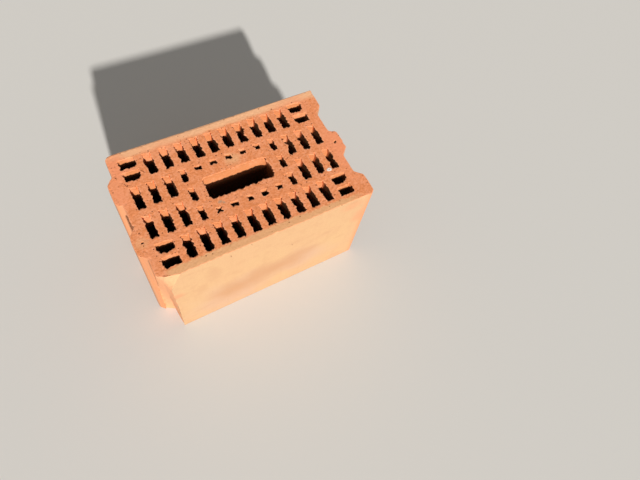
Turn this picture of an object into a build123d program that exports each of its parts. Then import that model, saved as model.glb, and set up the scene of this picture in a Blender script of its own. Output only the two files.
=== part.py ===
from build123d import *
from collections import namedtuple
import os

# Vertically perforated clay block with tongue-and-groove ends, in millimetres.
# It stands on its wire-cut bed with the holes upright: X runs along the wall,
# Y through the wall and +Z up. The origin lies under the middle of its outline.

# Body
module_length = 373.0
block_width = 236.0
block_height = 236.0

# Left end: two lobes that stand proud of the end plane.
# Right end: two grooves that take the lobes of the next block.
lobe_depth = 12.0
joint_clearance = 1.5
flank_radius = 6.0
Lobe = namedtuple("Lobe", "front_foot back_foot front_run back_run")
front_lobe = Lobe(front_foot=-77.0, back_foot=-20.0, front_run=11.0, back_run=12.0)
back_lobe = Lobe(front_foot=21.0, back_foot=77.0, front_run=4.0, back_run=12.0)

# Upright corners, as the extruder's mouth and handling left them
corner_radius_back_left = 8.0
corner_radius_back_right = 3.0
corner_radius_front_right = 9.0
corner_radius_front_left = 3.0

# Hole field: every row hangs on one rib pitch, which the end shells leave over
left_shell = 16.25
right_shell = 18.75
outer_shell = 17.0
cross_web = 11.0
middle_web = 12.0
hole_corner_radius = 1.5

# Long slots beside the two faces
outer_slot_width = 13.5
outer_slot_length = 41.5
outer_slot_count = 10

# Long slots beside the grip, three at each end of the two inner rows
inner_slot_width = 12.5
inner_slot_count = 3
inner_slot_rib_count = 4

# Pairs of slots that lie across in the four corners
corner_slot_length = 25.5
corner_slot_depth = 18.5
corner_web = 6.0

# Their front corners closed in as the soft clay sagged: radii left and right,
# from the rearmost slot to the foremost
Sag = namedtuple("Sag", "left right")
left_end_sags = (Sag(2.0, 5.0), Sag(4.0, 9.0), Sag(6.0, 5.0), Sag(6.0, 2.0))
right_end_sags = (Sag(9.0, 4.0), Sag(8.0, 2.0), Sag(2.0, 9.0), Sag(1.5, 1.5))

# Short slots left and right of the grip
small_slot_width = 9.5
small_slot_length = 25.0
small_slot_pitch = 37.0
small_slot_count = 3
small_slot_rib_count = 3

# Pinholes in front of and behind the grip
pinhole_width = 10.0
pinhole_length = 10.5
pinhole_count = 5
pinhole_line = 43.0

# Hand grip
grip_length = 113.0
grip_width = 43.0
grip_corner_radius = 8.0

# Needle holes of the core bars, one in the front lobe and one in the middle tongue
needle_hole_diameter = 4.5
needle_hole_inset = 14.0

# Broken front left arris, read at four heights above the bed.
# The legs run back from the old corner; the belly is a point on the break between them.
Break = namedtuple("Break", "height front_leg end_leg belly_in belly_back")
break_at_foot = Break(height=0.0, front_leg=15.0, end_leg=45.0, belly_in=12.5, belly_back=37.0)
break_at_knee = Break(height=110.0, front_leg=15.5, end_leg=42.0, belly_in=9.0, belly_back=25.0)
break_at_shoulder = Break(height=190.0, front_leg=14.0, end_leg=29.0, belly_in=8.0, belly_back=14.0)
break_at_bed = Break(height=block_height, front_leg=34.0, end_leg=12.0, belly_in=10.5, belly_back=5.0)
break_overrun = 2.5
break_spoil = 20.0

# Back arris of the top bed, worn round. The bed leg runs in from the back face,
# the face leg down it, at three places counted from the middle of the block.
Wear = namedtuple("Wear", "place bed_leg face_leg")
wear_at_left_end = Wear(place=-200.0, bed_leg=3.0, face_leg=2.5)
wear_at_middle = Wear(place=-20.0, bed_leg=4.5, face_leg=3.0)
wear_at_right_end = Wear(place=200.0, bed_leg=1.0, face_leg=1.0)
round_share = 0.29

overall_length = module_length + lobe_depth
lobe_tip_x = -overall_length / 2
end_plane_x = lobe_tip_x + lobe_depth
tongue_x = overall_length / 2
groove_floor_x = tongue_x - lobe_depth - joint_clearance
front_y = -block_width / 2
back_y = block_width / 2
inner_rib_span = 2 * (inner_slot_rib_count + inner_slot_count - 1)
field_left_x = end_plane_x + left_shell
field_right_x = groove_floor_x - right_shell
field_middle_x = (field_left_x + field_right_x) / 2
rib_pitch = (field_right_x - field_left_x - inner_slot_width) / inner_rib_span


def end_line(plane_x, depth, growth):
    """Points of one end from front to back, with each lobe widened by growth."""
    points = []
    for lobe in (front_lobe, back_lobe):
        front_foot = lobe.front_foot - growth
        back_foot = lobe.back_foot + growth
        points.append((plane_x, front_foot))
        points.append((plane_x - depth, front_foot + lobe.front_run))
        points.append((plane_x - depth, back_foot - lobe.back_run))
        points.append((plane_x, back_foot))
    return points


def body_outline():
    """Plan of the solid body: two flat faces and two interlocking ends."""
    left = end_line(end_plane_x, lobe_depth, 0)
    right = end_line(tongue_x, tongue_x - groove_floor_x, joint_clearance)
    corners = {
        (end_plane_x, front_y): corner_radius_front_left,
        (tongue_x, front_y): corner_radius_front_right,
        (tongue_x, back_y): corner_radius_back_right,
        (end_plane_x, back_y): corner_radius_back_left,
    }
    front_left, front_right, back_right, back_left = corners
    ring = [front_left, front_right, *right, back_right, back_left, *reversed(left)]
    outline = make_face(Polyline(*ring, close=True))
    for point in left + right:
        outline = fillet(nearest_vertex(outline, point), flank_radius)
    for point, radius in corners.items():
        outline = fillet(nearest_vertex(outline, point), radius)
    return outline


def nearest_vertex(face, point):
    return face.vertices().sort_by_distance(Vector(*point))[0]


def slots(length_x, length_y, places):
    """One rounded opening at each place."""
    opening = RectangleRounded(length_x, length_y, hole_corner_radius)
    return [place * opening for place in places]


def outer_row_y():
    return back_y - outer_shell - outer_slot_length / 2


def inner_slot_length():
    """What the shells, webs and outer slots leave for the two inner rows."""
    outer_band = outer_shell + outer_slot_length + cross_web
    return block_width / 2 - outer_band - middle_web / 2


def outer_slots():
    rows = 2 * outer_row_y()
    return slots(outer_slot_width, outer_slot_length, GridLocations(rib_pitch, rows, outer_slot_count, 2))


def inner_slots():
    length = inner_slot_length()
    rows = middle_web + length
    group_middle = rib_pitch * (inner_slot_rib_count + (inner_slot_count - 1) / 2)
    cut = []
    for side in (-1, 1):
        group = Pos(side * group_middle, 0)
        for place in GridLocations(rib_pitch, rows, inner_slot_count, 2):
            cut += slots(inner_slot_width, length, [group * place])
    return cut


def sagged_slot(sag):
    """Corner slot whose two front corners the clay has closed in."""
    opening = Rectangle(corner_slot_length, corner_slot_depth)
    front_y_of_slot = -corner_slot_depth / 2
    half_length = corner_slot_length / 2
    radii = {
        (-half_length, front_y_of_slot): sag.left,
        (half_length, front_y_of_slot): sag.right,
        (-half_length, -front_y_of_slot): hole_corner_radius,
        (half_length, -front_y_of_slot): hole_corner_radius,
    }
    for point, radius in radii.items():
        opening = fillet(nearest_vertex(opening, point), radius)
    return opening


def corner_slots():
    rib = rib_pitch - outer_slot_width
    last_slot_edge = rib_pitch * (outer_slot_count - 1) / 2 + outer_slot_width / 2
    centre_x = last_slot_edge + rib + corner_slot_length / 2
    in_pair = (corner_slot_depth + corner_web) / 2
    rows = [side * outer_row_y() + step for side in (1, -1) for step in (in_pair, -in_pair)]
    cut = []
    for column_x, sags in ((-centre_x, left_end_sags), (centre_x, right_end_sags)):
        for row_y, sag in zip(rows, sags):
            cut.append(Pos(column_x, row_y) * sagged_slot(sag))
    return cut


def small_slots():
    columns = 2 * small_slot_rib_count * rib_pitch
    places = GridLocations(columns, small_slot_pitch, 2, small_slot_count)
    return slots(small_slot_width, small_slot_length, places)


def pinholes():
    return slots(pinhole_width, pinhole_length, GridLocations(rib_pitch, 2 * pinhole_line, pinhole_count, 2))


def needle_holes():
    """Not on the rib pitch: they sit in the lobe and the tongue themselves."""
    lobe_middle = (front_lobe.front_foot + front_lobe.back_foot) / 2
    tongue_middle = (front_lobe.back_foot + back_lobe.front_foot) / 2
    needle = Circle(needle_hole_diameter / 2)
    in_lobe = Pos(lobe_tip_x + needle_hole_inset, lobe_middle) * needle
    in_tongue = Pos(tongue_x - needle_hole_inset, tongue_middle) * needle
    return [in_lobe, in_tongue]


def block_plan():
    """The extruder's mouth: outline less every hole."""
    grip = RectangleRounded(grip_length, grip_width, grip_corner_radius)
    field = [grip, *outer_slots(), *inner_slots(), *corner_slots(), *small_slots(), *pinholes()]
    shifted = [Pos(field_middle_x, 0) * hole for hole in field]
    return body_outline() - shifted - needle_holes()


def carried_on(start, end):
    """End point moved on past the block's surface."""
    return end + (end - start).normalized() * break_overrun


def break_section(at):
    """Level slice of the piece that broke away, carried clear of the block."""
    old_corner = Vector(end_plane_x, front_y)
    belly = old_corner + Vector(at.belly_in, at.belly_back)
    end_side = carried_on(belly, old_corner + Vector(0, at.end_leg))
    front_side = carried_on(belly, old_corner + Vector(at.front_leg, 0))
    outside = old_corner - Vector(break_spoil, break_spoil)
    face = make_face(Polyline(belly, front_side, outside, end_side, close=True))
    return Pos(0, 0, at.height) * face


def broken_arris():
    """Ruled break from the foot up to the top bed."""
    readings = (break_at_foot, break_at_knee, break_at_shoulder, break_at_bed)
    return loft([break_section(at) for at in readings], ruled=True)


def wear_section(at):
    """Upright slice of the clay worn off the back arris, carried clear of the block."""
    arris = Vector(back_y, block_height)
    belly = arris - Vector(at.bed_leg, at.face_leg) * round_share
    bed_side = carried_on(belly, arris - Vector(at.bed_leg, 0))
    face_side = carried_on(belly, arris - Vector(0, at.face_leg))
    outside = arris + Vector(break_spoil, break_spoil)
    face = make_face(Polyline(belly, face_side, outside, bed_side, close=True))
    return Plane.YZ.offset(at.place) * face


def worn_arris():
    return loft([wear_section(at) for at in (wear_at_left_end, wear_at_middle, wear_at_right_end)], ruled=True)


def clay_block():
    return extrude(block_plan(), block_height) - broken_arris() - worn_arris()


os.makedirs("parts", exist_ok=True)
export_step(clay_block(), "parts/clay_block.step")
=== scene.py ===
import math
from collections import namedtuple

import bmesh
import bpy
import numpy as np
from bpy.props import FloatProperty, FloatVectorProperty, PointerProperty
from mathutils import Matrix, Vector, noise
from mathutils.kdtree import KDTree


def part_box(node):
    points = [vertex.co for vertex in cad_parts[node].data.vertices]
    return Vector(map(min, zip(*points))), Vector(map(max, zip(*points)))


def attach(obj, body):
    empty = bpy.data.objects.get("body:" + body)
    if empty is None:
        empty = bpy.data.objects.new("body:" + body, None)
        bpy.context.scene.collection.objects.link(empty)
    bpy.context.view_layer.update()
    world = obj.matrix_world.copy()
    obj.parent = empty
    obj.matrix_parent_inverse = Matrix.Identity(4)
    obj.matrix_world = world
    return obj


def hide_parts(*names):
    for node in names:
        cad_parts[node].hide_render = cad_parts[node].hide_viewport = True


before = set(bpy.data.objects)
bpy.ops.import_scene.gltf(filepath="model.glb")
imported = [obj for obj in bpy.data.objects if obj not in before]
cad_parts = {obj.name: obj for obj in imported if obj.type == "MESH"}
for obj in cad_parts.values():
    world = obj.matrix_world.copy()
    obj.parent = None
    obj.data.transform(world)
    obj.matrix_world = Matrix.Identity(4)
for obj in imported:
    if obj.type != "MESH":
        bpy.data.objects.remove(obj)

bl_info = {
    "name": "Perforated Clay Block",
    "version": (1, 0, 0),
    "blender": (4, 5, 0),
    "location": "View3D > Sidebar > Clay Block",
    "description": "Gives the fired clay block its torn rims, worn arrises, break, stains and colours",
    "category": "Object",
}

BLOCK_NODE = "clay_block"
LOW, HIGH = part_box(BLOCK_NODE)
MM = 0.001
WELD = 0.000001
FLAT = 0.999
UPRIGHT = 0.001
# Edges and planes that are straight and level enough to count as such
STRAIGHT, ASKEW = 0.9999, 0.0001
SAME_PLANE = 0.99999

# Loose triangles that meet flatter than this become one face
FLAT_ANGLE = math.radians(0.3)
# Edges shorter than this share of the bed's cells are slivers
SLIVER_SHARE = 0.3

# Share of its radius that the middle of a rounded corner lies in from each of its two sides,
# and how many radii beside the corner the rounding ends
CORNER_SHARE = 0.29
ROUNDING_END = 1.5
# Painted shade of the hole walls: low light reaches this share of a hole's length down its back wall;
# the side walls lie in painted shade but for a short stretch beside that wall, whose lengths are
# shares of the hole's length too
LIT_SHARE = 0.57
SIDE_PAINTED_SHADE = 1.25
LIT_END, GLOWING_END = 0.16, 0.38
END_GLOW = 0.5
# Side walls of a wide hole get that much less painted shade, and painted shade deepens slowly under the
# lit part
OPEN_GLOW = 0.2
SHADE_RATE = 0.35
# The back rims of the holes are rubbed pale by this share less
BACK_RUB = 0.5
# Corners of the right and left tongues, rubbed rounder than the extruder made them, as y in mm
TONGUE_CORNERS = ((-78.5, -18.5, 19.5, 78.5), (-66.0, -32.0, 25.0, 65.0))
CORNER_REACH = 0.008
TONGUE_SHARE = 0.97
# Holes that sagged out of their rows near the top bed, as (x, y, shift along, shift forward) in mm
SAGGED_HOLES = ((147, -68, 2.0, 2.0), (147, -92.5, 2.0, 2.0), (178.5, 0.5, 0.4, 2.6))
SAG_REACH = 0.004
# The back left corner, knocked off at the top, as (x, y) in mm
KNOCKED = (-180, 117)
KNOCK_REACH = 0.0075
KNOCK = 0.0018
# The left recess, whose top arris is crumbled outwards
RECESS_X, RECESS_HALF = -0.178, 0.021
# Two facets of a round hole corner become one while they stay narrower than this
FACET_WIDTH = 0.0013

# Clay deeper than this below a bed is not torn. Holes shorter than the pinhole limit are pinholes,
# and the one that is wider than the slot limit is the hand grip.
TORN_LIMIT = 0.025
PINHOLE_LIMIT = 0.012
SLOT_LIMIT = 0.03

# How far down each of these reaches before it has faded to about a third
CORNER_FADE, SAG_FADE, KNOCK_FADE = 0.06, 0.08, 0.02
LUMP_FADE, CHIP_FADE, CRUMB_FADE, BED_FADE = 0.007, 0.004, 0.003, 0.004

# Width and length of the clay in a hole's back right corner, and width of what the wire dragged along
FILL_WIDTH, FILL_LENGTH = 0.0105, 0.0095
DRAGGED = 0.007
# The lip runs along this share of a hole's right side, and holes this long carry it in full
LIP_SHARE = 0.38
FULL_LIP = 0.04
# A face that turns further than this cosine from where it was counts as folded over
FOLD_LIMIT = 0.15
HOLE_NUMBER = "hole"
Hole = namedtuple("Hole", "left right front back")

# Finishes, in the order of the block's material slots
BED, SKIN, PERFORATION, BREAK = range(4)

# Levels that the walls are divided at, counted in mm down from the top bed and up from the lower one
NEAR_TOP_BED = (0.7, 1.8, 3.5)
FINE_CLAY_DEPTH = 6.0
BELOW_TOP_BED = (10.0, 16.0, 26.0, 60.0, 115.0, 170.0)
NEAR_LOWER_BED = (16.0, 5.0, 1.5)

# Lumps of clay on the rims of the holes as (x, y, swell, reach) in mm: swell stands out into the hole.
# Beyond LUMP_END times its reach a lump adds nothing.
LUMP_END = 3
RIM_LUMPS = (
    (-126, 87, -2.0, 3.5), (-101, 88, -1.5, 3.0), (-76, 75, -1.5, 3.0), (-12, 85, 2.4, 6.0),
    (42, 73, 4.2, 4.0), (28, 64, -1.5, 3.0), (81, 72, -2.0, 3.0), (97, 25, 4.8, 5.0),
    (122, 9, -1.5, 3.0), (147, 10, -2.0, 3.0), (-164, 27, -2.0, 3.0), (148, -35, 2.0, 3.5),
    (160, -33, 2.0, 3.5), (96, -40, -1.2, 3.0), (55, -83, -2.4, 3.0), (56, -88, 3.0, 3.0),
    (-163, -74, 2.5, 3.0), (-144, -75, 2.2, 3.0), (-54, -49, 3.4, 2.4), (-54, -37, 2.4, 2.4),
    (-59, -43, 3.4, 2.2), (-49, -43, 3.4, 2.2), (-34, -42, -3.4, 3.0), (-22, -44, -3.4, 3.0),
    (-28, -48, 2.4, 4.0), (-28, -37, 1.6, 4.0), (-7, -43, 1.8, 3.5), (3, -43, 1.0, 3.5),
    (-2, -48, 1.6, 3.0), (19, -49, -3.6, 2.6), (29, -41, 1.6, 3.0), (45, -44, 1.6, 3.0),
    (50, -49, 1.8, 4.0), (55, -41, -1.2, 2.0), (-54, 49, 3.4, 4.0), (-59, 44, -1.6, 2.0),
    (-49, 44, -1.2, 2.0), (-28, 37, 3.2, 3.0), (-33, 40, -1.2, 2.0), (-23, 40, -1.2, 2.0),
    (-28, 48, 1.4, 5.0), (-2, 42, 2.8, 4.0), (3, 48, 1.8, 3.0), (24, 41, 2.2, 3.5),
    (50, 46, 2.4, 3.0), (45, 41, 2.2, 2.4), (55, 41, 2.2, 2.4), (69, -67, 2.4, 5.0),
    (43, -67, 1.5, 4.0), (56, 12, 4.0, 6.0),
)


def fired(code):
    """Linear colour of an sRGB hex code."""
    parts = [int(code[place:place + 2], 16) / 255 for place in (1, 3, 5)]
    return tuple(part / 12.92 if part <= 0.04045 else ((part + 0.055) / 1.055) ** 2.4 for part in parts)


def length(name, default, description, **limits):
    return FloatProperty(name=name, description=description, default=default * MM, precision=5,
                         unit="LENGTH", subtype="DISTANCE", **limits)


def colour(name, code, description):
    return FloatVectorProperty(name=name, description=description, default=fired(code), size=3,
                               subtype="COLOR", min=0.0, max=1.0)


def angle(name, degrees, description):
    return FloatProperty(name=name, description=description, default=math.radians(degrees),
                         subtype="ANGLE")


class ClaySizes(bpy.types.PropertyGroup):
    bed_grid: length("Top bed grid", 1.5, "Cell size of the top bed and the clay just under it", min=0.001)
    wall_grid: length("Wall grid", 7.5, "Cell size of the walls and of the lower bed", min=0.002)
    break_grid: length("Break grid", 2.5, "Cell size of the broken arris", min=0.001)
    bed_drop: length("Bed drop", 0.3, "How far the cut beds lie inside the block's box on average")
    bed_waves: length("Bed waves", 0.06, "Long rise and fall of the wire-cut beds")
    bed_grain: length("Bed grain", 0.09, "Short rise and fall of the wire-cut beds")
    bed_dents: length("Bed dents", 1.6, "Depth of the dents where crumbs were pulled out of a bed")
    front_tear: length("Front rim tear", 2.6, "How ragged the front rims of the holes are")
    side_tear: length("Side rim tear", 1.9, "How ragged the side rims of the holes are")
    back_tear: length("Back rim tear", 0.7, "How ragged the back rims of the holes are")
    pinhole_tear: length("Pinhole tear", 1.4, "How ragged the pinholes' rims are")
    rim_chips: length("Rim chips", 2.4, "Depth of the chips that broke off the rims")
    tear_depth: length("Tear depth", 2.6, "How far down from a bed the torn clay reaches")
    corner_fill: length("Corner fill", 4.5, "How far clay stands forward in the holes' back right corners")
    back_lip: length("Back lip", 2.2, "How far thin clay overhangs the back ends of the holes")
    right_lip: length("Right lip", 0.8, "How far thin clay overhangs their right sides near the back")
    lip_depth: length("Lip depth", 3.5, "How far down the overhanging clay fades out", min=0.001)
    burr: length("Burr", 0.9, "Height of the burrs on the front rims")
    back_round: length("Back rim rounding", 0.4, "Radius that the back rims of the holes are drawn to")
    side_round: length("Side rim rounding", 1.1, "Radius of the side and front rims of the holes")
    wall_relief: length("Wall relief", 0.3, "Rise and fall of the hole walls below the tear")
    arris_wear: length("Arris wear", 0.8, "Radius that the outer arrises are worn to")
    break_relief: length("Break relief", 0.7, "Roughness of the broken arris")
    skin_relief: length("Skin relief", 0.2, "Shallow waves of the extruded faces")
    arris_chips: length("Arris chips", 1.1, "Depth of the chips along the outer arrises")
    corner_rub: length("Corner rub", 0.8, "How far the corners of the tongues are rubbed back")
    recess_crumbs: length("Recess crumbs", 2.4, "How far crumbs stand out from the left recess's arris")
    wear_reach: length("Wear reach", 4.0, "Width of the lighter clay beside rims and arrises")


class ClayColours(bpy.types.PropertyGroup):
    bed: colour("Bed", "#f49864", "Wire-cut clay")
    bed_pale: colour("Pale clay", "#fba87c", "Lighter mottles of the cut clay")
    bed_warm: colour("Warm clay", "#ffa073", "Redder patches of the cut clay")
    bed_deep: colour("Deep clay", "#e08650", "Darker mottles of the cut clay")
    pit: colour("Pit", "#7c3818", "Bottom of the pits")
    front_band: colour("Front band", "#ebba86", "Sandy skin clay along the front arris of the bed")
    back_band: colour("Back band", "#ffc99a", "Pale skin clay along the back arris of the bed")
    stain: colour("Stain", "#f2b583", "Tan stains on the bed")
    lime: colour("Lime", "#f6ece2", "Burnt lime pebble")
    ash: colour("Ash", "#b59a80", "Grey fleck")
    skin: colour("Skin", "#cea47a", "Extruded front and back faces")
    skin_deep: colour("Deep skin", "#c2936d", "Darker patches of the skin")
    skin_grey: colour("Grey skin", "#c9a184", "Greyish pink patches of the skin")
    skin_pink: colour("Pink skin", "#d3956e", "Pinker patches of the skin")
    skin_cream: colour("Cream skin", "#d0ab7c", "Paler patches of the skin")
    end_skin: colour("End skin", "#e59565", "Skin of the tongues and grooves")
    wall: colour("Hole wall", "#e3915c", "Walls of the holes near a bed")
    # Painted shade: the hole walls darken to this colour where low light does not reach them
    wall_painted_shade: colour("Deep hole wall", "#5a3618", "Walls of the holes deep in the block")
    fracture: colour("Fracture", "#ecb07e", "Broken clay")
    fracture_pink: colour("Pink fracture", "#ea9e70", "Mottles of the broken clay")
    # Painted light: the break is painted this paler colour low down and beside the front face, where its
    # facets turn away from the low front light
    fracture_painted_light: colour("Fracture foot", "#fdb588", "Broken clay low down on the block")
    rim: colour("Rim", "#ffae82", "Clay rubbed pale on the rims")
    # Painted highlight: the tips of the burrs on the front rims are painted this pale, as if lit by the
    # low front light
    burr: colour("Burr", "#ffd2b4", "Pale tips of the burrs on the front rims")


class ClayStage(bpy.types.PropertyGroup):
    floor: colour("Floor", "#d9d6d1", "Studio floor")
    backdrop: colour("Backdrop", "#e6e4e0", "What the camera sees beyond the floor")
    key_strength: FloatProperty(name="Key strength", description="Strength of the low front light",
                                default=4.1, min=0.0)
    key_softness: angle("Key softness", 2.0, "Angle that the front light fills")
    key_height: angle("Key height", 29.5, "Angle of the front light above the floor")
    key_side: angle("Key side", 7.0, "Angle of the front light left of the block")
    fill_strength: FloatProperty(name="Fill strength", description="Strength of the light from all round",
                                 default=0.26, min=0.0)
    camera_place: FloatVectorProperty(name="Camera place", description="Where the photo was taken from",
                                      default=(-0.1862, -0.4274, 0.9835), size=3, subtype="TRANSLATION")
    camera_turn: FloatVectorProperty(name="Camera turn", description="How the camera is turned", size=3,
                                     default=[math.radians(turn) for turn in (27.462, -9.427, -29.661)],
                                     subtype="EULER")
    camera_lens: FloatProperty(name="Lens", description="Focal length in mm on a 36 mm sensor",
                               default=29.70)
    camera_shift: FloatVectorProperty(name="Shift", description="Framing of the photograph",
                                      default=(-0.0393, -0.0280), size=2)


# The block's mesh

def welded_copy(node):
    """Copy of a CAD node's mesh with its loose triangles joined into flat faces."""
    block = bmesh.new()
    block.from_mesh(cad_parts[node].data)
    bmesh.ops.remove_doubles(block, verts=block.verts, dist=WELD)
    bmesh.ops.dissolve_limit(block, angle_limit=FLAT_ANGLE, use_dissolve_boundaries=False,
                             verts=block.verts, edges=block.edges)
    return block


def joined_walls(start):
    """The faces that can be reached from one without crossing a level bed."""
    found, waiting = {start}, [start]
    while waiting:
        for edge in waiting.pop().edges:
            for face in edge.link_faces:
                if face not in found and abs(face.normal.z) < FLAT:
                    found.add(face)
                    waiting.append(face)
    return found


def outer_finish(face):
    """Finish of a face on the block's outline: upright skin, the break, or the worn back arris."""
    if abs(face.normal.z) < UPRIGHT:
        return SKIN
    return BREAK if face.calc_center_median().y < 0 else BED


def name_surfaces(block):
    """Gives each face its finish and its hole's number; returns the limits of the rings of walls."""
    number = block.faces.layers.int.new(HOLE_NUMBER)
    walls = [face for face in block.faces if abs(face.normal.z) < FLAT]
    named, holes = set(), []
    for face in block.faces:
        face.material_index = BED
    for wall in walls:
        if wall in named:
            continue
        ring = joined_walls(wall)
        named |= ring
        along = [vert.co.x for face in ring for vert in face.verts]
        through = [vert.co.y for face in ring for vert in face.verts]
        holes.append(Hole(min(along), max(along), min(through), max(through)))
        outer = holes[-1].right - holes[-1].left > (HIGH.x - LOW.x) / 2
        for face in ring:
            face.material_index = outer_finish(face) if outer else PERFORATION
            face[number] = len(holes) - 1
    return holes


def upright_edges(face):
    return [edge for edge in face.edges if abs(edge.verts[0].co.z - edge.verts[1].co.z) > HIGH.z / 2]


def thin_corners(block):
    """Drops every other facet of the small round corners of the holes, twice over."""
    for _ in range(2):
        dropped, kept = [], set()
        for edge in block.edges:
            walls = edge.link_faces
            if edge in kept or any(wall.material_index != PERFORATION for wall in walls):
                continue
            beside = [other for wall in walls for other in upright_edges(wall) if other is not edge]
            if len(beside) == 2 and edge in upright_edges(walls[0]):
                across = beside[0].verts[0].co.xy - beside[1].verts[0].co.xy
                if across.length < FACET_WIDTH:
                    dropped.append(edge)
                    kept.update(beside)
        bmesh.ops.dissolve_edges(block, edges=dropped, use_verts=True, use_face_split=False)


def part_of(faces):
    """Faces with their edges and corners, as the cutting operator takes them."""
    edges = dict.fromkeys(edge for face in faces for edge in face.edges)
    verts = dict.fromkeys(vert for face in faces for vert in face.verts)
    return [*verts, *edges, *faces]


def slice_across(block, axis, places, faces):
    """Divides the faces by planes square to one axis: at the middle place, then each side by itself."""
    if not places or not faces:
        return
    middle = len(places) // 2
    point, normal = Vector(), Vector()
    point[axis], normal[axis] = places[middle], 1.0
    cut = bmesh.ops.bisect_plane(block, geom=part_of(faces), dist=WELD, plane_co=point, plane_no=normal)
    below, above = [], []
    for item in cut["geom"]:
        if isinstance(item, bmesh.types.BMFace):
            side = below if item.calc_center_median()[axis] < places[middle] else above
            side.append(item)
    slice_across(block, axis, places[:middle], below)
    slice_across(block, axis, places[middle + 1:], above)


def steps(axis, step, start):
    """Evenly spaced places between the block's limits."""
    count = math.ceil((HIGH[axis] - LOW[axis] - start) / step)
    return [LOW[axis] + start + step * turn for turn in range(count)]


def divide_clay(block, sizes):
    """Cells fine enough to carry the torn rims: finest on the top bed and just under it."""
    fine_level = HIGH.z - FINE_CLAY_DEPTH * MM
    slice_across(block, 2, [fine_level], block.faces[:])
    for axis in (2, 0):
        broken = [face for face in block.faces if face.material_index == BREAK]
        slice_across(block, axis, steps(axis, sizes.break_grid, sizes.break_grid / 2), broken)
    coarse = [steps(axis, sizes.wall_grid, sizes.wall_grid / 2) for axis in (0, 1)]
    for axis in (0, 1):
        slice_across(block, axis, coarse[axis], block.faces[:])
    for axis in (0, 1):
        upper = [face for face in block.faces if min(vert.co.z for vert in face.verts) > fine_level - WELD]
        fine = [place for place in steps(axis, sizes.bed_grid, sizes.bed_grid / 2)
                if min(abs(place - other) for other in coarse[axis]) > WELD]
        slice_across(block, axis, fine, upper)
    levels = [HIGH.z - depth * MM for depth in NEAR_TOP_BED + BELOW_TOP_BED]
    levels += [LOW.z + height * MM for height in NEAR_LOWER_BED]
    walls = [face for face in block.faces if abs(face.normal.z) < FLAT and face.material_index != BREAK]
    slice_across(block, 2, sorted(levels), walls)


def runs_with_grid(edge):
    """True for an edge that a division made, and false for one left slanting by the welded triangles."""
    run = (edge.verts[1].co - edge.verts[0].co).normalized()
    steepness = abs(edge.link_faces[0].normal.z)
    if steepness > FLAT:
        return max(abs(run.x), abs(run.y)) > STRAIGHT
    if steepness < UPRIGHT:
        return abs(run.z) < ASKEW or abs(run.z) > STRAIGHT
    return min(abs(part) for part in run) < ASKEW


def clear_slanting_edges(block):
    slanting = []
    for edge in block.edges:
        one, other = edge.link_faces
        flat = one.normal.dot(other.normal) > SAME_PLANE and one.material_index == other.material_index
        if flat and one.material_index != BREAK and not runs_with_grid(edge):
            slanting.append(edge)
    bmesh.ops.dissolve_edges(block, edges=slanting, use_verts=False, use_face_split=False)
    spare = [vert for vert in block.verts if len(vert.link_edges) == 2]
    bmesh.ops.dissolve_verts(block, verts=spare)


def finishes_at(vert):
    return {face.material_index for face in vert.link_faces}


def weld_slivers(block, shortest):
    """Bed points that lie almost on a rim are joined to it."""
    targets = {}
    for edge in block.edges:
        if edge.calc_length() > shortest:
            continue
        rim = [vert for vert in edge.verts if finishes_at(vert) != {BED}]
        free = [vert for vert in edge.verts if finishes_at(vert) == {BED}]
        if len(rim) == 1 and abs(free[0].link_faces[0].normal.z) > FLAT and free[0] not in targets:
            targets[free[0]] = rim[0]
    bmesh.ops.weld_verts(block, targetmap=targets)


# Relief of the clay

def ripple(point, size, turn=0.0):
    """Smooth noise from about -1 to 1 with waves of the given size."""
    return noise.noise(Vector(point) / size + Vector((turn, 2.7 * turn, 5.1 * turn))) * 1.6


def bed_depth(height):
    """Distance below or above the nearer bed."""
    return min(HIGH.z - height, height - LOW.z)


def fade(distance, reach):
    return math.exp(-max(distance, 0.0) / reach)


def facing(vert, finish):
    """Mean outward direction of the faces with one finish round a point."""
    total = Vector()
    for face in vert.link_faces:
        if face.material_index == finish:
            total += face.normal
    return total.normalized()


def lump_swell(point):
    """What the lumps on the rims add near a point."""
    swell = 0.0
    for x, y, height, reach in RIM_LUMPS:
        away = math.hypot(point.x - x * MM, point.y - y * MM) / (reach * MM)
        if away < LUMP_END:
            swell += height * MM * math.exp(-away * away)
    return swell * fade(HIGH.z - point.z, LUMP_FADE)


def tear_of(sizes, inward, hole):
    """Raggedness of a rim by the way its wall looks: front rims look back into their hole."""
    if hole.back - hole.front < PINHOLE_LIMIT:
        return sizes.pinhole_tear
    front, back = max(inward.y, 0.0) ** 2, min(inward.y, 0.0) ** 2
    return sizes.front_tear * front + sizes.back_tear * back + sizes.side_tear * inward.x ** 2


def near(distance, reach):
    """1 at no distance down to 0 at the reach."""
    return max(0.0, 1.0 - distance / reach)


def corner_shift(point, hole, sizes):
    """Forward shift of the clay that slants across the back right corner of a hole."""
    run = hole.back - hole.front
    slant = near(hole.right - point.x, FILL_WIDTH) * near(hole.back - point.y, FILL_LENGTH)
    return sizes.corner_fill * min(1.0, run / FULL_LIP) * slant * fade(HIGH.z - point.z, CORNER_FADE)


def wire_drag(point, hole, sizes):
    """Shift of the thin clay that the wire dragged over the back end of a hole, its own for each hole."""
    run = hole.back - hole.front
    ahead = hole.back - point.y
    own = 1.0 + 0.45 * ripple((hole.left, hole.back, 0.0), 0.03, 31.0)
    share = own * min(1.0, run / FULL_LIP) * fade(HIGH.z - point.z, sizes.lip_depth)
    beside = min(1.0, 2.0 * near(ahead, LIP_SHARE * run)) * near(hole.right - point.x, DRAGGED)
    lip = Vector((-sizes.right_lip * beside, -sizes.back_lip * near(ahead, DRAGGED), 0.0)) * share
    return lip - Vector((0.0, corner_shift(point, hole, sizes), 0.0))


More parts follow.
